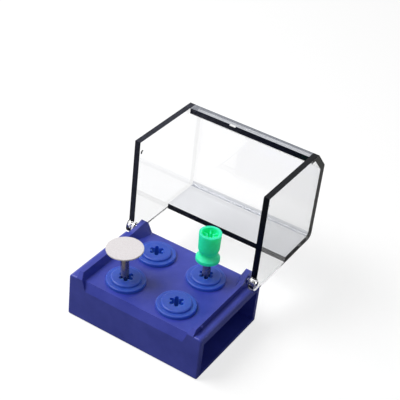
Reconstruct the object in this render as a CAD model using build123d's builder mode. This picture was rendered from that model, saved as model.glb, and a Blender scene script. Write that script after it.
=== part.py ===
"""Dental bur block: a blue base with four silicone holders, two instruments and a clear hinged lid.

The lid stands open by a quarter turn, as at rest. Millimetres, +X along the long side, +Y towards
the hinge, +Z up. The origin is the centre of the base's underside.
"""

from math import atan2, cos, hypot, radians, tan
import os

from build123d import *

# Base: a flat block with a deep pocket in each end
base_length = 43.0
base_depth = 31.0
ledge_height = 14.0
front_wall = 1.7
floor_wall = 1.6
cavity_top = 11.6
core_half_length = 13.5
corner_radius = 0.5
ledge_edge_radius = 1.0
bottom_edge_radius = 0.6

# Raised platform between the ledges, with a bevel along its front
platform_height = 13.3
bevel_foot_height = 10.6
bevel_run = 1.15

# Rails beside the platform
rail_outer_x = 18.9
rail_top_width = 1.2
rail_foot_x = 15.9
rail_height = 15.65
rail_ramp_run = 1.3
bump_radius = 0.6
bump_reach = 0.35
bump_taper = 35
bump_y = -11.7
bump_height = 14.9

# Hinge
hinge_y = 12.9
hinge_z = 15.0
ear_front_y = 9.0
ear_ridge_y = 14.2
ear_ridge_height = 17.3
ear_back_height = 16.1
ear_foot_x = 14.0
ear_top_x = 16.9
pin_radius = 1.2
pin_clearance = 0.05
pin_tip_x = 17.4
pin_hole_bottom_x = 17.3
pin_core_radius = 0.75
pin_core_depth = 2.2
lobe_radius = 2.1
relief_gap = 0.6
relief_inner_x = 18.5
stop_gap = 0.1

# Lid, measured when it is closed
lid_length = 43.0
lid_depth = 32.0
lid_top = 48.0
lid_rim = 14.3
lid_wall = 1.8
chamfer_foot_height = 42.3
chamfer_top_y = -9.85
front_strip_foot_height = 39.6
back_wall_foot_height = 32.3
lid_back_radius = 2.2
lid_edge_radius = 0.5
groove_count = 5
groove_pitch = 0.5
groove_width = 0.24
groove_depth = 0.14
groove_end_margin = 1.9
nub_y = -12.5
nub_height = 15.4
nub_radius = 0.6
nub_reach = 0.3
nub_taper = 35
notch_x = -5.3
notch_width = 2.0
notch_depth = 0.45

# Silicone holders
holder_x = 8.3
holder_y = 7.4
flange_radius = 5.6
flange_thickness = 1.0
plateau_radius = 4.3
plateau_height = 0.7
barrel_radius = 3.5
star_bottom = 3.2
star_core_radius = 1.25
star_reach = 2.15
star_slot_width = 1.15
star_arms = 6
plateau_edge_radius = 0.5
flange_edge_radius = 0.3

# Instruments: straight shanks with a latch end
shank_radius = 1.175
grip_height = 9.0
shank_tip_drop = 5.0
latch_flat_length = 4.6
latch_flat_offset = 0.55
latch_groove_radius = 0.8
latch_groove_start = 2.1
latch_groove_width = 0.9
tip_chamfer = 0.25

disc_lean_x = -2.9
disc_lean_y = -1.6
disc_radius = 5.2
disc_thickness = 0.5
disc_top = 15.6
disc_edge_radius = 0.15
neck_cone_radius = 2.1
neck_cone_height = 2.6

cup_lean_x = -0.8
cup_lean_y = 0.0
cup_bottom = 11.3
cup_flange_radius = 3.4
cup_flange_top = 12.2
cup_waist_height = 13.7
cup_waist_radius = 2.45
cup_body_height = 15.3
cup_body_radius = 3.0
cup_top = 20.3
cup_rim_radius = 3.15
cup_bowl_radius = 2.35
cup_bowl_depth = 4.2
cup_rib_count = 6
cup_rib_width = 0.45
cup_rib_inner = 0.8
cup_rib_drop = 0.9
button_radius = 1.6
button_start = 13.3
button_height = 1.2

half_length = base_length / 2
half_depth = base_depth / 2
lid_half_length = lid_length / 2
lid_front_y = -lid_depth / 2
lid_back_y = lid_depth / 2
cut_margin = 1.0


def swung(y, z):
    """Where a point of the closed lid stands once the lid is open."""
    return (hinge_y + (z - hinge_z), hinge_z - (y - hinge_y))


def leaning_plane(x, y, lean_x, lean_y):
    """The plane of an instrument that leans a little in its soft holder."""
    lean = (tan(radians(lean_x)), tan(radians(lean_y)), 1)
    return Plane(origin=(x, y, grip_height), x_dir=(1, 0, -lean[0]), z_dir=lean)


rail_top_x = rail_outer_x - rail_top_width


def is_flange_rim(edge):
    """Whether an edge is the upper rim of a holder's flange."""
    above = platform_height + flange_thickness / 2
    return abs(edge.radius - flange_radius) < 0.01 and edge.center().Z > above


def side_rail(side):
    """The rail on one side, 1 for the right and -1 for the left."""
    with BuildPart() as rail:
        with BuildSketch(Plane.XZ.offset(-half_depth)):
            with BuildLine():
                Polyline(
                    (side * rail_foot_x, bevel_foot_height),
                    (side * rail_top_x, rail_height),
                    (side * rail_outer_x, rail_height),
                    (side * rail_outer_x, bevel_foot_height),
                    close=True,
                )
            make_face()
        extrude(amount=base_depth)
        with BuildSketch(Plane.YZ):
            with BuildLine():
                Polyline(
                    (-half_depth, bevel_foot_height),
                    (-half_depth, ledge_height),
                    (-half_depth + rail_ramp_run, rail_height),
                    (half_depth, rail_height),
                    (half_depth, bevel_foot_height),
                    close=True,
                )
            make_face()
        extrude(amount=half_length, both=True, mode=Mode.INTERSECT)
    return rail.part


def side_ear(side):
    """The hinge ear on one side: it grows out of the rail towards the back and drops off behind."""
    rail_sections = [
        (ear_front_y, rail_foot_x, rail_top_x, rail_height),
        (ear_ridge_y, ear_foot_x, ear_top_x, ear_ridge_height),
        (half_depth, ear_foot_x, ear_top_x, ear_back_height),
    ]
    with BuildPart() as ear:
        for y, foot_x, top_x, top in rail_sections:
            with BuildSketch(Plane.XZ.offset(-y)):
                with BuildLine():
                    Polyline(
                        (side * foot_x, bevel_foot_height),
                        (side * top_x, top),
                        (side * rail_outer_x, top),
                        (side * rail_outer_x, bevel_foot_height),
                        close=True,
                    )
                make_face()
        loft(ruled=True)
    return ear.part


with BuildPart() as base:
    with BuildSketch():
        Rectangle(base_length, base_depth)
    extrude(amount=ledge_height)
    ledge_edges = base.edges().filter_by(Axis.Y).group_by(Axis.Z)[-1]
    fillet(ledge_edges, ledge_edge_radius)
    fillet(base.edges().filter_by(Axis.Z), corner_radius)
    bottom_edges = base.edges().filter_by(Axis.X).group_by(Axis.Z)[0]
    fillet(bottom_edges, bottom_edge_radius)

    # The platform lies a little below the ledges
    with BuildSketch(Plane.XY.offset(ledge_height)):
        Rectangle(2 * rail_top_x, base_depth)
    extrude(amount=platform_height - ledge_height, mode=Mode.SUBTRACT)

    # Front bevel
    with BuildSketch(Plane.YZ.offset(-rail_top_x)):
        with BuildLine():
            Polyline(
                (-half_depth - cut_margin, bevel_foot_height),
                (-half_depth, bevel_foot_height),
                (-half_depth + bevel_run, platform_height),
                (-half_depth + bevel_run, ledge_height + cut_margin),
                (-half_depth - cut_margin, ledge_height + cut_margin),
                close=True,
            )
        make_face()
    extrude(amount=2 * rail_top_x, mode=Mode.SUBTRACT)

    for side in (1, -1):
        add(side_rail(side))
        add(side_ear(side))

    # Holes for the holders' barrels, down to the floor
    with BuildSketch(Plane.XY.offset(floor_wall)):
        with GridLocations(2 * holder_x, 2 * holder_y, 2, 2):
            Circle(barrel_radius)
    extrude(amount=ledge_height, mode=Mode.SUBTRACT)

    for side in (1, -1):
        # Pocket, open at the end of the block
        with BuildSketch(Plane.YZ.offset(side * core_half_length)):
            with Locations((0, (floor_wall + cavity_top) / 2)):
                Rectangle(base_depth - 2 * front_wall, cavity_top - floor_wall)
        extrude(amount=side * (half_length - core_half_length + cut_margin), mode=Mode.SUBTRACT)

        # Blind hinge hole, entered from the outside of the ear
        with BuildSketch(Plane.YZ.offset(side * pin_hole_bottom_x)):
            with Locations((hinge_y, hinge_z)):
                Circle(pin_radius + pin_clearance)
        extrude(amount=side * (rail_outer_x - pin_hole_bottom_x + cut_margin), mode=Mode.SUBTRACT)

        # Relief for the lid's lobe and pin, open at the back
        relief_radius = lobe_radius + relief_gap
        with BuildSketch(Plane.YZ.offset(side * relief_inner_x)):
            with Locations((hinge_y, hinge_z)):
                Circle(relief_radius)
            with Locations((hinge_y + relief_radius, hinge_z)):
                Rectangle(2 * relief_radius, 2 * relief_radius)
        extrude(amount=side * (half_length - relief_inner_x + cut_margin), mode=Mode.SUBTRACT)

        # Detent bump on the rail's outer wall
        with BuildSketch(Plane.YZ.offset(side * rail_outer_x)):
            with Locations((bump_y, bump_height)):
                Circle(bump_radius)
        extrude(amount=side * bump_reach, taper=bump_taper)

# Lid: the outline of its side walls, then its hollow
lobe_back_y = hinge_y + lobe_radius
shoulder_height = hinge_z + (half_depth + stop_gap - hinge_y)
lobe_meets_rim_y = hinge_y - (lobe_radius**2 - (hinge_z - lid_rim) ** 2) ** 0.5
chamfer_angle = atan2(lid_top - chamfer_foot_height, chamfer_top_y - lid_front_y)
chamfer_drop = lid_wall / cos(chamfer_angle)
inner_top = lid_top - lid_wall
inner_back_y = lid_back_y - lid_wall
inner_chamfer_foot = chamfer_foot_height - chamfer_drop + lid_wall * tan(chamfer_angle)
inner_front_y = lid_front_y + lid_wall
inner_chamfer_top_y = inner_front_y + (inner_top - inner_chamfer_foot) / tan(chamfer_angle)

with BuildPart() as lid:
    with BuildSketch(Plane.YZ.offset(-lid_half_length)):
        with BuildLine():
            Polyline(
                swung(lobe_meets_rim_y, lid_rim),
                swung(lid_front_y, lid_rim),
                swung(lid_front_y, chamfer_foot_height),
                swung(chamfer_top_y, lid_top),
                swung(lid_back_y - lid_back_radius, lid_top),
            )
            RadiusArc(
                swung(lid_back_y - lid_back_radius, lid_top),
                swung(lid_back_y, lid_top - lid_back_radius),
                lid_back_radius,
            )
            Polyline(
                swung(lid_back_y, lid_top - lid_back_radius),
                swung(lid_back_y, shoulder_height),
                swung(lobe_back_y, shoulder_height),
                swung(lobe_back_y, hinge_z),
            )
            ThreePointArc(
                swung(lobe_back_y, hinge_z),
                swung(hinge_y, hinge_z - lobe_radius),
                swung(lobe_meets_rim_y, lid_rim),
            )
        make_face()
    extrude(amount=lid_length)

    # Softened outer edges of the top and back walls
    outer_rim_edges = (
        lid.edges()
        .filter_by(GeomType.LINE)
        .filter_by_position(Axis.Y, swung(0, back_wall_foot_height)[0], swung(0, lid_top)[0] + 0.01)
        .filter_by(lambda e: abs(abs(e.center().X) - lid_half_length) < 0.01)
        .filter_by(lambda e: e.center().Y > swung(0, lid_top)[0] - 0.01)
    )
    fillet(outer_rim_edges, lid_edge_radius)

    # The hollow is open at the rim, below the front strip and below the back wall
    with BuildSketch(Plane.YZ.offset(-lid_half_length + lid_wall)):
        with BuildLine():
            Polyline(
                swung(lid_front_y - cut_margin, lid_rim - 2 * lobe_radius),
                swung(lid_front_y - cut_margin, front_strip_foot_height),
                swung(inner_front_y, front_strip_foot_height),
                swung(inner_front_y, inner_chamfer_foot),
                swung(inner_chamfer_top_y, inner_top),
                swung(inner_back_y - lid_back_radius + lid_wall / 2, inner_top),
            )
            RadiusArc(
                swung(inner_back_y - lid_back_radius + lid_wall / 2, inner_top),
                swung(inner_back_y, inner_top - lid_back_radius + lid_wall / 2),
                lid_back_radius - lid_wall / 2,
            )
            Polyline(
                swung(inner_back_y, inner_top - lid_back_radius + lid_wall / 2),
                swung(inner_back_y, back_wall_foot_height),
                swung(lid_back_y + cut_margin, back_wall_foot_height),
                swung(lid_back_y + cut_margin, lid_rim - 2 * lobe_radius),
                swung(lid_front_y - cut_margin, lid_rim - 2 * lobe_radius),
            )
        make_face()
    extrude(amount=lid_length - 2 * lid_wall, mode=Mode.SUBTRACT)

    # Fine grip grooves along the front strip
    strip_foot = swung(lid_front_y, front_strip_foot_height)
    strip_middle_y = swung(lid_front_y, (front_strip_foot_height + chamfer_foot_height) / 2)[0]
    with BuildSketch(Plane.XY.offset(strip_foot[1])):
        with Locations((0, strip_middle_y)):
            with GridLocations(1, groove_pitch, 1, groove_count):
                Rectangle(lid_length - 2 * groove_end_margin, groove_width)
    extrude(amount=-groove_depth, mode=Mode.SUBTRACT)

    # Small notch in the strip's free edge
    with Locations((notch_x, *strip_foot)):
        Box(notch_width, 2 * notch_depth, 2 * notch_depth, mode=Mode.SUBTRACT)

    for side in (1, -1):
        # Hinge pin, moulded to the lobe, with a core hole from the outside
        with BuildSketch(Plane.YZ.offset(side * pin_tip_x)):
            with Locations((hinge_y, hinge_z)):
                Circle(pin_radius)
        extrude(amount=side * (lid_half_length - lid_wall / 2 - pin_tip_x))
        with BuildSketch(Plane.YZ.offset(side * (lid_half_length - pin_core_depth))):
            with Locations((hinge_y, hinge_z)):
                Circle(pin_core_radius)
        extrude(amount=side * (pin_core_depth + cut_margin), mode=Mode.SUBTRACT)

        # Nub that passes the rail's bump when the lid closes
        with BuildSketch(Plane.YZ.offset(side * (lid_half_length - lid_wall))):
            with Locations(swung(nub_y, nub_height)):
                Circle(nub_radius)
        extrude(amount=-side * nub_reach, taper=nub_taper)

os.makedirs("parts", exist_ok=True)
base.part.label = "base"
export_step(base.part, "parts/base.step")
lid.part.label = "lid"
export_step(lid.part, "parts/lid.step")

# Silicone holders: a stepped flange over the platform and a barrel that fills its hole
holder_places = {
    "holder_front_left": (-holder_x, -holder_y),
    "holder_front_right": (holder_x, -holder_y),
    "holder_back_left": (-holder_x, holder_y),
    "holder_back_right": (holder_x, holder_y),
}
flange_top = platform_height + flange_thickness
plateau_top = flange_top + plateau_height
for holder_name, place in holder_places.items():
    with BuildPart() as holder:
        with BuildSketch(Plane.XY.offset(floor_wall)):
            with Locations(place):
                Circle(barrel_radius)
        extrude(amount=platform_height - floor_wall)
        with BuildSketch(Plane.XY.offset(platform_height)):
            with Locations(place):
                Circle(flange_radius)
        extrude(amount=flange_thickness)
        with BuildSketch(Plane.XY.offset(flange_top)):
            with Locations(place):
                Circle(plateau_radius)
        extrude(amount=plateau_height)
        round_edges = holder.edges().filter_by(GeomType.CIRCLE)
        fillet(round_edges.group_by(Axis.Z)[-1], plateau_edge_radius)
        flange_rim = holder.edges().filter_by(GeomType.CIRCLE).filter_by(is_flange_rim)
        fillet(flange_rim, flange_edge_radius)

        # Star-shaped blind hole
        with BuildSketch(Plane.XY.offset(star_bottom)):
            with Locations(place):
                Circle(star_core_radius)
                with PolarLocations(star_reach / 2, star_arms):
                    SlotOverall(star_reach, star_slot_width)
        extrude(amount=plateau_top - star_bottom, mode=Mode.SUBTRACT)
    holder.part.label = holder_name
    export_step(holder.part, f"parts/{holder_name}.step")


def latch_shank_outline(top, extra_points):
    """Half outline of a shank, from its tip up to a given height, then through more points."""
    groove_low = -shank_tip_drop + latch_groove_start
    groove_high = groove_low + latch_groove_width
    return [
        (0, -shank_tip_drop),
        (shank_radius - tip_chamfer, -shank_tip_drop),
        (shank_radius, -shank_tip_drop + tip_chamfer),
        (shank_radius, groove_low),
        (latch_groove_radius, groove_low),
        (latch_groove_radius, groove_high),
        (shank_radius, groove_high),
        (shank_radius, top),
        *extra_points,
    ]


# Steel shank of the polishing disc, with a cone that carries the disc
disc_plane = leaning_plane(-holder_x, -holder_y, disc_lean_x, disc_lean_y)
disc_section = Plane(origin=disc_plane.origin, x_dir=disc_plane.x_dir, z_dir=-disc_plane.y_dir)
disc_bottom = disc_top - disc_thickness
with BuildPart() as disc_shank:
    with BuildSketch(disc_section):
        with BuildLine():
            Polyline(
                (neck_cone_radius, disc_bottom),
                (0, disc_bottom),
                *latch_shank_outline(disc_bottom - neck_cone_height, []),
            )
            TangentArc(
                (shank_radius, disc_bottom - neck_cone_height),
                (neck_cone_radius, disc_bottom),
                tangent=(0, 1),
            )
        make_face()
    revolve(axis=Axis(disc_plane.origin, disc_plane.z_dir))
    with BuildSketch(disc_plane.offset(-shank_tip_drop)):
        with Locations((shank_radius + latch_flat_offset, 0)):
            Rectangle(2 * shank_radius, 4 * shank_radius)
    extrude(amount=latch_flat_length, mode=Mode.SUBTRACT)
disc_shank.part.label = "disc_shank"
export_step(disc_shank.part, "parts/disc_shank.step")

with BuildPart() as polishing_disc:
    with BuildSketch(disc_plane.offset(disc_bottom)):
        Circle(disc_radius)
    extrude(amount=disc_thickness)
    fillet(polishing_disc.edges().filter_by(GeomType.CIRCLE), disc_edge_radius)
polishing_disc.part.label = "polishing_disc"
export_step(polishing_disc.part, "parts/polishing_disc.step")

# Steel shank of the cup, with a button that the cup is pressed over
cup_plane = leaning_plane(holder_x, holder_y, cup_lean_x, cup_lean_y)
cup_section = Plane(origin=cup_plane.origin, x_dir=cup_plane.x_dir, z_dir=-cup_plane.y_dir)
button_top = button_start + button_height
with BuildPart() as cup_shank:
    with BuildSketch(cup_section):
        with BuildLine():
            Polyline(
                *latch_shank_outline(
                    button_start,
                    [(button_radius, button_start), (button_radius, button_top), (0, button_top)],
                ),
                close=True,
            )
        make_face()
    revolve(axis=Axis(cup_plane.origin, cup_plane.z_dir))
    with BuildSketch(cup_plane.offset(-shank_tip_drop)):
        with Locations((shank_radius + latch_flat_offset, 0)):
            Rectangle(2 * shank_radius, 4 * shank_radius)
    extrude(amount=latch_flat_length, mode=Mode.SUBTRACT)
cup_shank.part.label = "cup_shank"
export_step(cup_shank.part, "parts/cup_shank.step")

# Rubber cup: a flange, a waist and a bowl with ribs inside
bowl_floor = cup_top - cup_bowl_depth
with BuildPart() as prophy_cup:
    with BuildSketch(cup_section):
        with BuildLine():
            Polyline(
                (shank_radius, cup_bottom),
                (cup_flange_radius, cup_bottom),
                (cup_flange_radius, cup_flange_top),
            )
            Spline(
                (cup_flange_radius, cup_flange_top),
                (cup_waist_radius, cup_waist_height),
                (cup_body_radius, cup_body_height),
                tangents=[(-1, 1), (0.1, 1)],
            )
            Polyline(
                (cup_body_radius, cup_body_height),
                (cup_rim_radius, cup_top),
                (cup_bowl_radius, cup_top),
                (cup_bowl_radius, bowl_floor),
                (0, bowl_floor),
                (0, button_top),
                (button_radius, button_top),
                (button_radius, button_start),
                (shank_radius, button_start),
                (shank_radius, cup_bottom),
            )
        make_face()
    revolve(axis=Axis(cup_plane.origin, cup_plane.z_dir))
    rib_length = cup_bowl_radius + 0.1 - cup_rib_inner
    with BuildSketch(cup_plane.offset(bowl_floor)):
        with PolarLocations(cup_rib_inner + rib_length / 2, cup_rib_count):
            Rectangle(rib_length, cup_rib_width)
    extrude(amount=cup_bowl_depth - cup_rib_drop)
prophy_cup.part.label = "prophy_cup"
export_step(prophy_cup.part, "parts/prophy_cup.step")
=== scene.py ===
"""Looks of the dental bur block: procedural materials, soft studio light and the photo's camera."""

import math

import bpy
from mathutils import Matrix, Vector


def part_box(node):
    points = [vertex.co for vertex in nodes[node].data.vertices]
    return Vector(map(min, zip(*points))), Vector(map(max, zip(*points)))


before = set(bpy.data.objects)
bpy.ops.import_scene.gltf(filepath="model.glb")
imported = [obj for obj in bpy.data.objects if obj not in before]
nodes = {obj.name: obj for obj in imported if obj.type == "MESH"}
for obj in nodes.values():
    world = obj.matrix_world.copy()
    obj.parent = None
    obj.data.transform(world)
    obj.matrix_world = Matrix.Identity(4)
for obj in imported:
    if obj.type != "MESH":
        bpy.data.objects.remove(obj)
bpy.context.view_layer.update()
MM = 0.001

# Camera, fitted to the corners of the base and the lid in the photo
CAMERA_AZIMUTH = 28.745
CAMERA_ELEVATION = 34.769
CAMERA_ROLL = 6.883
CAMERA_DISTANCE = 301.08 * MM
CAMERA_RIGHT = 8.731 * MM
CAMERA_UP = 16.587 * MM
CAMERA_PIVOT = Vector((0, 0, 20 * MM))
FOCAL_PIXELS = 1106.51
FRAME_PIXELS = 400

# Middle part of a noise's values, which a range is stretched over
NOISE_LOW = 0.3
NOISE_HIGH = 0.7

CLEAR_IOR = 1.49

# Painted glow on the soft parts, standing in for light that passes through from their lit side
SILICONE_PAINTED_GLOW = 0.08
CUP_PAINTED_GLOW = 0.11

# The lid's forms that its looks follow, at rest. The cut edges are the rim, the foot of the
# back wall and the foot of the front strip. A face is picked by how squarely it faces an axis.
LID_HALF_LENGTH = 21.5 * MM
STRIP_HALF_LENGTH = 19.7 * MM
CUT_EDGES_Y = (12.2 * MM, 30.2 * MM, 37.5 * MM)
GROOVE_DEPTH = 0.14 * MM
BACK_RADIUS = 2.3 * MM
EDGE_BLUR = 0.15 * MM
SLACK = 0.05 * MM
FACING = 0.99
SLANTED = 0.1
# Painted shade of the lid's cut edges: dark, lighter at the left end towards the light and darker at the
# right
PAINTED_EDGE_SHADE_LEFT = (0.022, 0.024, 0.038)
PAINTED_EDGE_SHADE_RIGHT = (0.003, 0.004, 0.007)
# Pale grey of the clear front strip: a painted reflection
STRIP_PAINTED_REFLECTION_LOW = (0.36, 0.38, 0.43)
STRIP_PAINTED_REFLECTION_HIGH = (0.52, 0.54, 0.60)
# Painted shade in the strip's grooves: darker floors
GROOVE_PAINTED_SHADE_LOW = (0.20, 0.22, 0.27)
GROOVE_PAINTED_SHADE_HIGH = (0.30, 0.32, 0.38)

# Light: at level 1 a white surface that faces the light renders white
WORLD_LEVEL = 0.23
GLOSS_LEVEL = 0.85
KEY_LEVEL = 0.98
SIDE_LEVEL = 0.12
FLOOR_BOUNCE = 0.32
FLOOR_PALE = 0.32
FLOOR_GLOW = 0.74
FLOOR_HALF = 1.5
LIGHT_AIM = Vector((0, 5 * MM, 15 * MM))
KEY_PLACE = Vector((-0.25, -0.13, 0.42))
KEY_SIZE = 0.30
SIDE_PLACE = Vector((-0.50, 0.22, 0.22))
SIDE_SIZE = 0.36


def material(name):
    """A new node material, its node tree and its Principled shader."""
    mat = bpy.data.materials.new(name)
    mat.use_nodes = True
    tree = mat.node_tree
    shader = tree.nodes["Principled BSDF"]
    return mat, tree, shader


def add_noise(tree, scale, detail=3.0):
    """Noise in the row frame, with its scale per millimetre."""
    place = tree.nodes.new("ShaderNodeTexCoord")
    noise = tree.nodes.new("ShaderNodeTexNoise")
    noise.inputs["Scale"].default_value = scale / MM
    noise.inputs["Detail"].default_value = detail
    noise.inputs["Roughness"].default_value = 0.55
    tree.links.new(place.outputs["Object"], noise.inputs["Vector"])
    return noise.outputs["Fac"]


def add_range(tree, value, low, high, from_low=NOISE_LOW, from_high=NOISE_HIGH):
    """Maps a value, of a noise unless its limits are given, to a range."""
    ramp = tree.nodes.new("ShaderNodeMapRange")
    ramp.inputs["From Min"].default_value = from_low
    ramp.inputs["From Max"].default_value = from_high
    ramp.inputs["To Min"].default_value = low
    ramp.inputs["To Max"].default_value = high
    tree.links.new(value, ramp.inputs["Value"])
    return ramp.outputs["Result"]


def add_mix(tree, factor, first, second):
    """Mixes two colours by a factor socket."""
    mix = tree.nodes.new("ShaderNodeMix")
    mix.data_type = "RGBA"
    mix.inputs[6].default_value = (*first, 1)
    mix.inputs[7].default_value = (*second, 1)
    tree.links.new(factor, mix.inputs[0])
    return mix.outputs[2]


def add_bump(tree, shader, height, depth):
    """Bump with its depth in millimetres."""
    bump = tree.nodes.new("ShaderNodeBump")
    bump.inputs["Distance"].default_value = depth * MM
    bump.inputs["Strength"].default_value = 1.0
    tree.links.new(height, bump.inputs["Height"])
    tree.links.new(bump.outputs["Normal"], shader.inputs["Normal"])


def set_clouds(tree, shader, scale, first, second):
    """A base colour that drifts between two, by a noise of a scale per millimetre."""
    cloud = add_range(tree, add_noise(tree, scale), 0, 1)
    tree.links.new(add_mix(tree, cloud, first, second), shader.inputs["Base Color"])


def set_roughness(tree, shader, scale, low, high):
    """A roughness that varies between two values."""
    tree.links.new(add_range(tree, add_noise(tree, scale), low, high), shader.inputs["Roughness"])


def set_subsurface(shader, weight, radius, scale):
    """Light that spreads below the surface, with its reach in millimetres."""
    shader.inputs["Subsurface Weight"].default_value = weight
    shader.inputs["Subsurface Radius"].default_value = radius
    shader.inputs["Subsurface Scale"].default_value = scale * MM


def set_painted_glow(shader, colour, strength):
    """A faint painted glow, standing in for light that comes through from the lit side."""
    shader.inputs["Emission Color"].default_value = (*colour, 1)
    shader.inputs["Emission Strength"].default_value = strength


def base_plastic():
    """Softly glossy blue moulded plastic with a faint grain and cloudy colour."""
    mat, tree, shader = material("base_plastic")
    set_clouds(tree, shader, 0.16, (0.024, 0.038, 0.330), (0.042, 0.058, 0.410))
    set_roughness(tree, shader, 0.5, low=0.30, high=0.44)
    add_bump(tree, shader, add_noise(tree, 2.6, detail=4), depth=0.018)
    return mat


def silicone():
    """Satin, slightly translucent blue silicone, with a faint painted glow."""
    mat, tree, shader = material("silicone")
    set_clouds(tree, shader, 0.35, (0.017, 0.058, 0.37), (0.029, 0.084, 0.44))
    set_subsurface(shader, weight=0.6, radius=(0.2, 0.4, 1.0), scale=3.5)
    set_painted_glow(shader, (0.03, 0.13, 0.8), SILICONE_PAINTED_GLOW)
    set_roughness(tree, shader, 0.7, low=0.34, high=0.50)
    add_bump(tree, shader, add_noise(tree, 1.6), depth=0.02)
    return mat


def clear_plastic(name, colour):
    """Clear moulded plastic with a given tint; the greyer tints given for some of the lid's faces are
    painted shade.
    """
    mat, tree, shader = material(name)
    shader.inputs["Base Color"].default_value = (*colour, 1)
    shader.inputs["Transmission Weight"].default_value = 1.0
    shader.inputs["IOR"].default_value = CLEAR_IOR
    set_roughness(tree, shader, 0.25, low=0.0, high=0.03)
    add_bump(tree, shader, add_noise(tree, 0.12, detail=1), depth=0.006)
    return mat


def place_along(tree, axis):
    """The object's own coordinate along X, Y or Z, in metres."""
    place = tree.nodes.new("ShaderNodeTexCoord")
    split = tree.nodes.new("ShaderNodeSeparateXYZ")
    tree.links.new(place.outputs["Object"], split.inputs[0])
    return split.outputs[axis]


def painted_shade_edge(name):
    """The walls' cut edges, painted dark as painted shade for the dark of the room seen along the wall,
    with the painted shade lighter on the left, towards the light.

    Returns the material, its tree, its shader and the socket with the painted shade colour.
    """
    mat, tree, shader = material(name)
    # Painted shade: lighter at the left end, darker at the right, with a random spread in its depth
    across = add_range(tree, place_along(tree, "X"), 0, 1, -LID_HALF_LENGTH, LID_HALF_LENGTH)
    plain = add_mix(tree, across, PAINTED_EDGE_SHADE_LEFT, PAINTED_EDGE_SHADE_RIGHT)
    streak = add_range(tree, add_noise(tree, 0.9), 0.6, 1.3)
    shade = tree.nodes.new("ShaderNodeVectorMath")
    shade.operation = "SCALE"
    tree.links.new(plain, shade.inputs[0])
    tree.links.new(streak, shade.inputs["Scale"])
    tree.links.new(shade.outputs[0], shader.inputs["Base Color"])
    shader.inputs["Specular IOR Level"].default_value = 0.12
    set_roughness(tree, shader, 0.6, low=0.14, high=0.28)
    return mat, tree, shader, shade.outputs[0]


def front_painted_shade_and_reflection():
    """The front face: painted dark shade on the cut edges at its sides, and a pale grooved strip between
    them, whose pale grey is a painted reflection.
    """
    mat, tree, shader, dark = painted_shade_edge("clear_plastic_front_painted_shade_and_reflection")
    side = tree.nodes.new("ShaderNodeMath")
    side.operation = "ABSOLUTE"
    tree.links.new(place_along(tree, "X"), side.inputs[0])
    is_side = add_range(tree, side.outputs[0], 0, 1, STRIP_HALF_LENGTH - EDGE_BLUR, STRIP_HALF_LENGTH)
    # Painted reflection: the clear strip's pale grey
    pale = add_mix(tree, add_noise(tree, 0.5), STRIP_PAINTED_REFLECTION_LOW, STRIP_PAINTED_REFLECTION_HIGH)
    mix = tree.nodes.new("ShaderNodeMix")
    mix.data_type = "RGBA"
    tree.links.new(is_side, mix.inputs[0])
    tree.links.new(pale, mix.inputs[6])
    tree.links.new(dark, mix.inputs[7])
    tree.links.new(mix.outputs[2], shader.inputs["Base Color"])
    return mat


def groove_painted_shade():
    """The floors of the strip's fine grooves, painted darker as painted shade in the grooves."""
    mat, tree, shader = material("clear_plastic_groove_painted_shade")
    colour = add_mix(tree, add_noise(tree, 0.5), GROOVE_PAINTED_SHADE_LOW, GROOVE_PAINTED_SHADE_HIGH)
    tree.links.new(colour, shader.inputs["Base Color"])
    shader.inputs["Roughness"].default_value = 0.4
    return mat


def steel():
    """Turned steel, slightly cloudy and finely rough."""
    mat, tree, shader = material("steel")
    set_clouds(tree, shader, 0.8, (0.26, 0.23, 0.24), (0.40, 0.36, 0.36))
    shader.inputs["Metallic"].default_value = 1.0
    set_roughness(tree, shader, 1.5, low=0.16, high=0.30)
    add_bump(tree, shader, add_noise(tree, 4.0), depth=0.01)
    return mat


def disc_face():
    """Fine matte white abrasive face."""
    mat, tree, shader = material("disc_face")
    set_clouds(tree, shader, 3.0, (0.68, 0.64, 0.65), (0.78, 0.75, 0.76))
    shader.inputs["Roughness"].default_value = 0.6
    add_bump(tree, shader, add_noise(tree, 6.0), depth=0.02)
    return mat


def cup_rubber():
    """Smooth green rubber that lets a little light through, with a faint painted glow."""
    mat, tree, shader = material("cup_rubber")
    set_clouds(tree, shader, 0.6, (0.010, 0.84, 0.40), (0.030, 0.93, 0.50))
    set_subsurface(shader, weight=0.7, radius=(0.2, 1.0, 0.5), scale=3.0)
    set_painted_glow(shader, (0.0, 0.75, 0.25), CUP_PAINTED_GLOW)
    set_roughness(tree, shader, 1.2, low=0.34, high=0.48)
    add_bump(tree, shader, add_noise(tree, 2.0), depth=0.02)
    return mat


def paint(names, mat):
    """Gives a material to CAD nodes."""
    for name in names:
        nodes[name].data.materials.clear()
        nodes[name].data.materials.append(mat)


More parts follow.
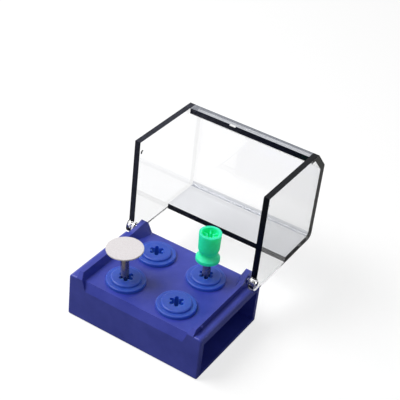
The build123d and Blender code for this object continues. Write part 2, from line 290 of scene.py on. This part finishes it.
def paint_lid():
    """Clear walls with painted shade on the right wall, the back foot and its rounded corners, painted
    dark shade on the cut edges, and a pale grooved strip with a painted reflection and painted shade in
    its grooves, picked face by face.
    """
    mats = {
        "clear": clear_plastic("clear_plastic", (0.985, 0.987, 0.992)),
        # Greyer tints below: painted shade on the right wall, the back foot and its rounded corners
        "right": clear_plastic("clear_plastic_side_painted_shade", (0.965, 0.967, 0.972)),
        "foot": clear_plastic("clear_plastic_foot_painted_shade", (0.76, 0.77, 0.80)),
        "corner_shade": clear_plastic("clear_plastic_corner_painted_shade", (0.42, 0.44, 0.49)),
        "edge": painted_shade_edge("clear_plastic_painted_edge_shade")[0],
        "front": front_painted_shade_and_reflection(),
        "groove": groove_painted_shade(),
    }
    lid = nodes["lid"].data
    lid.materials.clear()
    for mat in mats.values():
        lid.materials.append(mat)
    index = {name: place for place, name in enumerate(mats)}
    low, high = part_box("lid")
    for face in lid.polygons:
        centre, normal = face.center, face.normal
        below_front = high[2] - centre.z
        above_back = centre.z - low[2]
        kind = "clear"
        if normal.z > FACING and below_front < GROOVE_DEPTH / 2:
            kind = "front"
        elif normal.z > FACING and below_front < GROOVE_DEPTH + SLACK:
            kind = "groove"
        # Cut edges: painted dark shade
        elif normal.y < -FACING and min(abs(centre.y - y) for y in CUT_EDGES_Y) < SLACK:
            kind = "edge"
        # The right wall: a greyer tint, painted shade on the side away from the light
        elif abs(normal.x) > FACING and centre.x > STRIP_HALF_LENGTH - SLACK:
            kind = "right"
        # Faces near the back: greyer tints as painted shade, darkest on the rounded corners
        elif abs(normal.x) < SLANTED and above_back < BACK_RADIUS:
            slanted = SLANTED < abs(normal.y) < FACING
            kind = "corner_shade" if slanted else "foot"
        face.material_index = index[kind]


def area_light(name, place, aim, size, level):
    """A square soft light whose level is the brightness of a white surface at its aim."""
    data = bpy.data.lights.new(name, "AREA")
    data.shape = "SQUARE"
    data.size = size
    lamp = bpy.data.objects.new(name, data)
    bpy.context.scene.collection.objects.link(lamp)
    lamp.location = place
    to_aim = aim - place
    data.energy = level * math.pi**2 * to_aim.length_squared
    lamp.rotation_mode = "QUATERNION"
    lamp.rotation_quaternion = to_aim.to_track_quat("-Z", "Y")


def white_to_the_eye(tree, plain, white):
    """Shows one shader to camera and transmission rays, and the other to the rest."""
    rays = tree.nodes.new("ShaderNodeLightPath")
    seen = tree.nodes.new("ShaderNodeMath")
    seen.operation = "MAXIMUM"
    tree.links.new(rays.outputs["Is Camera Ray"], seen.inputs[0])
    tree.links.new(rays.outputs["Is Transmission Ray"], seen.inputs[1])
    mix = tree.nodes.new("ShaderNodeMixShader")
    tree.links.new(seen.outputs[0], mix.inputs[0])
    tree.links.new(plain, mix.inputs[1])
    tree.links.new(white, mix.inputs[2])
    return mix.outputs[0]


def make_world():
    """Even dim light, brighter in reflections and seen as white."""
    world = bpy.data.worlds.new("studio")
    world.use_nodes = True
    tree = world.node_tree
    level = tree.nodes["Background"]
    white = tree.nodes.new("ShaderNodeBackground")
    gloss = tree.nodes.new("ShaderNodeBackground")
    for background, strength in ((level, WORLD_LEVEL), (white, 1.0), (gloss, GLOSS_LEVEL)):
        background.inputs["Color"].default_value = (1, 1, 1, 1)
        background.inputs["Strength"].default_value = strength
    rays = tree.nodes.new("ShaderNodeLightPath")
    mirrored = tree.nodes.new("ShaderNodeMixShader")
    tree.links.new(rays.outputs["Is Glossy Ray"], mirrored.inputs[0])
    tree.links.new(level.outputs[0], mirrored.inputs[1])
    tree.links.new(gloss.outputs[0], mirrored.inputs[2])
    surface = white_to_the_eye(tree, mirrored.outputs[0], white.outputs[0])
    tree.links.new(surface, tree.nodes["World Output"].inputs["Surface"])
    bpy.context.scene.world = world


def make_floor():
    """A plain pale floor that keeps the shadow, and lights the object less than it looks."""
    corners = [(x * FLOOR_HALF, y * FLOOR_HALF, 0) for x, y in ((-1, -1), (1, -1), (1, 1), (-1, 1))]
    mesh = bpy.data.meshes.new("floor")
    mesh.from_pydata(corners, [], [(0, 1, 2, 3)])
    floor = bpy.data.objects.new("floor", mesh)
    bpy.context.scene.collection.objects.link(floor)
    mat, tree, shader = material("floor")
    shader.inputs["Base Color"].default_value = (FLOOR_BOUNCE, FLOOR_BOUNCE, FLOOR_BOUNCE, 1)
    shader.inputs["Roughness"].default_value = 0.9
    pale = tree.nodes.new("ShaderNodeBsdfDiffuse")
    pale.inputs["Color"].default_value = (FLOOR_PALE, FLOOR_PALE, FLOOR_PALE, 1)
    glow = tree.nodes.new("ShaderNodeEmission")
    glow.inputs["Strength"].default_value = FLOOR_GLOW
    both = tree.nodes.new("ShaderNodeAddShader")
    tree.links.new(pale.outputs[0], both.inputs[0])
    tree.links.new(glow.outputs[0], both.inputs[1])
    surface = white_to_the_eye(tree, shader.outputs[0], both.outputs[0])
    tree.links.new(surface, tree.nodes["Material Output"].inputs["Surface"])
    mesh.materials.append(mat)


def make_camera():
    """The photo's view: direction from azimuth, elevation and roll, place from the fitted offsets."""
    azimuth, elevation, roll = (math.radians(a) for a in (CAMERA_AZIMUTH, CAMERA_ELEVATION, CAMERA_ROLL))
    level = math.cos(elevation)
    ahead = Vector((-math.sin(azimuth) * level, math.cos(azimuth) * level, -math.sin(elevation)))
    level_right = ahead.cross(Vector((0, 0, 1))).normalized()
    level_up = level_right.cross(ahead)
    right = math.cos(roll) * level_right + math.sin(roll) * level_up
    up = right.cross(ahead)
    data = bpy.data.cameras.new("camera")
    data.lens = FOCAL_PIXELS / FRAME_PIXELS * data.sensor_width
    data.clip_start = 0.01
    camera = bpy.data.objects.new("camera", data)
    bpy.context.scene.collection.objects.link(camera)
    turn = Matrix((right, up, -ahead)).transposed().to_4x4()
    place = CAMERA_PIVOT - ahead * CAMERA_DISTANCE + right * CAMERA_RIGHT + up * CAMERA_UP
    camera.matrix_world = Matrix.Translation(place) @ turn
    bpy.context.scene.camera = camera


paint(["base"], base_plastic())
paint([name for name in nodes if name.startswith("holder_")], silicone())
paint(["disc_shank", "cup_shank"], steel())
paint(["polishing_disc"], disc_face())
paint(["prophy_cup"], cup_rubber())
paint_lid()

make_world()
make_floor()
area_light("key", KEY_PLACE, LIGHT_AIM, KEY_SIZE, KEY_LEVEL)
area_light("side", SIDE_PLACE, LIGHT_AIM, SIDE_SIZE, SIDE_LEVEL)
make_camera()
bpy.context.scene.view_settings.view_transform = "Standard"
